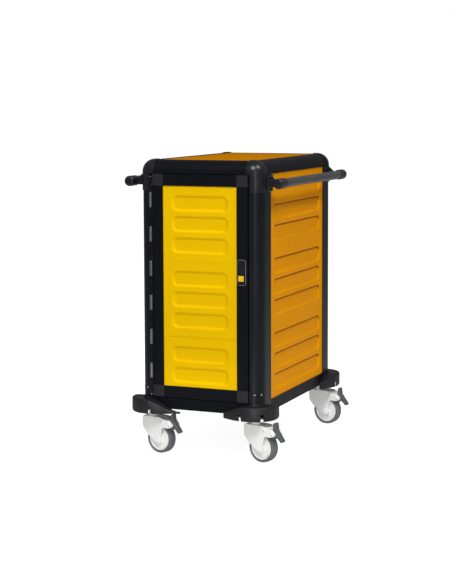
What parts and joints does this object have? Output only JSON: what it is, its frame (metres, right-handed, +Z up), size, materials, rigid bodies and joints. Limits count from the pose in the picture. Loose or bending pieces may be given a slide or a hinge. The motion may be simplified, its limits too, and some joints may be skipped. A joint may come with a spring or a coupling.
{
  "type": "insulated food transport cart",
  "caption": "Upright insulated transport cart on swivel casters with a hinged front door, embossed yellow panels in a black profile frame, side push bars and corner bumpers",
  "frame": {"origin": "on the floor under the middle of the cart's body, halfway between the side panels and between the door and the rear panel", "axes": "+Z up, the door faces -Y, +X to the right of someone facing the door, the push bars run along Y"},
  "size_m": [0.5879, 0.79, 0.99],
  "materials": {
    "yellow_sheet": "satin",
    "black_profile": "satin",
    "grey_steel": "satin",
    "dark_plastic": "satin",
    "grey_tube": "satin",
    "foam": "matte",
    "stainless_sheet": "satin",
    "gasket_rubber": "matte",
    "yellow_button": "gloss",
    "white_plastic": "satin",
    "grey_tyre": "matte"
  },
  "bodies": {
    "cart": {"left_side_panel": "yellow_sheet", "right_side_panel": "yellow_sheet", "rear_panel": "yellow_sheet", "top_panel": "yellow_sheet", "front_left_post": "black_profile", "front_right_post": "black_profile", "rear_left_post": "black_profile", "rear_right_post": "black_profile", "top_front_rail": "black_profile", "top_rear_rail": "black_profile", "top_left_rail": "black_profile", "top_right_rail": "black_profile", "hinge_post_leaf": "black_profile", "base_frame": "grey_steel", "hinge_pin": "grey_steel", "frame_screws": "grey_steel", "frame_rivets": "grey_steel", "latch_keeper": "grey_steel", "caster_mounts": "grey_steel", "corner_caps": "dark_plastic", "corner_bumpers": "dark_plastic", "push_bar_brackets": "dark_plastic", "push_bar_end_caps": "dark_plastic", "left_push_bar": "grey_tube", "right_push_bar": "grey_tube", "body_foam": "foam", "inner_liner": "stainless_sheet", "left_tray_rack": "stainless_sheet", "right_tray_rack": "stainless_sheet"},
    "door": {"door_panel_upper": "yellow_sheet", "door_panel_middle": "yellow_sheet", "door_panel_lower": "yellow_sheet", "door_hinge_stile": "black_profile", "door_latch_stile": "black_profile", "door_cross_rails": "black_profile", "door_corner_joiners": "dark_plastic", "door_foam": "foam", "door_inner_panel": "stainless_sheet", "door_gasket": "gasket_rubber", "hinge_door_leaf": "grey_steel", "latch_case": "dark_plastic"},
    "paddle": {"latch_paddle": "dark_plastic"},
    "bolt": {"latch_bolt": "grey_steel"},
    "button": {"release_button": "yellow_button"},
    "swivel_front_left": {"caster_fork_front_left": "white_plastic"},
    "wheel_front_left": {"caster_hub_front_left": "white_plastic", "caster_tyre_front_left": "grey_tyre"},
    "pedal_front_left": {"brake_pedal_front_left": "dark_plastic"},
    "swivel_front_right": {"caster_fork_front_right": "white_plastic"},
    "wheel_front_right": {"caster_hub_front_right": "white_plastic", "caster_tyre_front_right": "grey_tyre"},
    "pedal_front_right": {"brake_pedal_front_right": "dark_plastic"},
    "swivel_rear_right": {"caster_fork_rear_right": "white_plastic"},
    "wheel_rear_right": {"caster_hub_rear_right": "white_plastic", "caster_tyre_rear_right": "grey_tyre"},
    "pedal_rear_right": {"brake_pedal_rear_right": "dark_plastic"},
    "swivel_rear_left": {"caster_fork_rear_left": "white_plastic"},
    "wheel_rear_left": {"caster_hub_rear_left": "white_plastic", "caster_tyre_rear_left": "grey_tyre"},
    "pedal_rear_left": {"brake_pedal_rear_left": "dark_plastic"}
  },
  "joints": [
    {"name": "door_hinge", "type": "hinge", "parent": "cart", "child": "door", "pos_m": [-0.174, -0.3585, 0.5685], "axis": [0, 0, -1], "range_deg": [0, 180]},
    {"name": "paddle_pivot", "type": "hinge", "parent": "door", "child": "paddle", "pos_m": [0.1496, -0.3528, 0.6455], "axis": [-1, 0, 0], "range_deg": [0, 35], "stiffness_Nm_per_rad": 0.05, "springref_deg": -17.19},
    {"name": "bolt_slide", "type": "slide", "parent": "door", "child": "bolt", "axis": [-1, 0, 0], "range_m": [0, 0.011]},
    {"name": "button_press", "type": "slide", "parent": "door", "child": "button", "axis": [0, 1, 0], "range_m": [0, 0.003], "stiffness_N_per_m": 300, "springref_m": -0.003},
    {"name": "front_left_swivel", "type": "hinge", "parent": "cart", "child": "swivel_front_left", "pos_m": [-0.185, -0.321, 0.12], "axis": [0, 0, 1], "continuous": true},
    {"name": "front_left_wheel_spin", "type": "hinge", "parent": "swivel_front_left", "child": "wheel_front_left", "pos_m": [-0.15216, -0.3298, 0.05], "axis": [0.2588, 0.9659, 0], "continuous": true},
    {"name": "front_left_brake", "type": "hinge", "parent": "swivel_front_left", "child": "pedal_front_left", "pos_m": [-0.10145, -0.34339, 0.0985], "axis": [0.2588, 0.9659, 0], "range_deg": [0, 20]},
    {"name": "front_right_swivel", "type": "hinge", "parent": "cart", "child": "swivel_front_right", "pos_m": [0.185, -0.321, 0.12], "axis": [0, 0, 1], "continuous": true},
    {"name": "front_right_wheel_spin", "type": "hinge", "parent": "swivel_front_right", "child": "wheel_front_right", "pos_m": [0.21734, -0.33151, 0.05], "axis": [0.309, 0.9511, 0], "continuous": true},
    {"name": "front_right_brake", "type": "hinge", "parent": "swivel_front_right", "child": "pedal_front_right", "pos_m": [0.26727, -0.34773, 0.0985], "axis": [0.309, 0.9511, 0], "range_deg": [0, 20]},
    {"name": "rear_right_swivel", "type": "hinge", "parent": "cart", "child": "swivel_rear_right", "pos_m": [0.185, 0.321, 0.12], "axis": [0, 0, 1], "continuous": true},
    {"name": "rear_right_wheel_spin", "type": "hinge", "parent": "swivel_rear_right", "child": "wheel_rear_right", "pos_m": [0.21838, 0.31451, 0.05], "axis": [0.1908, 0.9816, 0], "continuous": true},
    {"name": "rear_right_brake", "type": "hinge", "parent": "swivel_rear_right", "child": "pedal_rear_right", "pos_m": [0.26991, 0.3045, 0.0985], "axis": [0.1908, 0.9816, 0], "range_deg": [0, 20]},
    {"name": "rear_left_swivel", "type": "hinge", "parent": "cart", "child": "swivel_rear_left", "pos_m": [-0.185, 0.321, 0.12], "axis": [0, 0, 1], "continuous": true},
    {"name": "rear_left_wheel_spin", "type": "hinge", "parent": "swivel_rear_left", "child": "wheel_rear_left", "pos_m": [-0.15201, 0.31278, 0.05], "axis": [0.2419, 0.9703, 0], "continuous": true},
    {"name": "rear_left_brake", "type": "hinge", "parent": "swivel_rear_left", "child": "pedal_rear_left", "pos_m": [-0.10107, 0.30007, 0.0985], "axis": [0.2419, 0.9703, 0], "range_deg": [0, 20]}
  ],
  "couplings": [
    {"joint": "paddle_pivot", "follows": "bolt_slide", "rad_per_m": 54.5}
  ]
}
